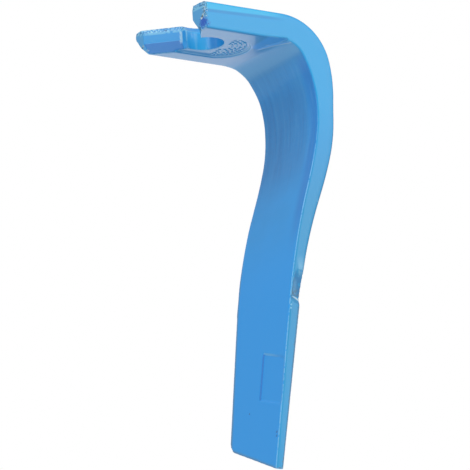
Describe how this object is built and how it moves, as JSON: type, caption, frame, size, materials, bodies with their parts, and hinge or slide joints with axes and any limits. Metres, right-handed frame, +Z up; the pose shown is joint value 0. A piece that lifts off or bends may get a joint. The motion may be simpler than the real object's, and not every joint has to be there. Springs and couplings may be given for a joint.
{
  "type": "cultivator blade tine",
  "caption": "Forged steel blade tine: a thick clamping flange with an open bolt slot, bent down into a blade that thins to a slanted tip.",
  "frame": {"origin": "on the bolt axis, in the plane of the flange's top face that is clamped to the tine holder", "axes": "+Z up along the bolt axis, out of the flange's top face; the blade hangs along -Z, its hollow front face looks along -Y, and its square edge is at +X"},
  "size_m": [0.0731, 0.1033, 0.3031],
  "materials": {
    "enamel": "semi-gloss sky blue enamel over forged steel"
  },
  "bodies": {
    "root": {"tine": "enamel"}
  },
  "joints": []
}
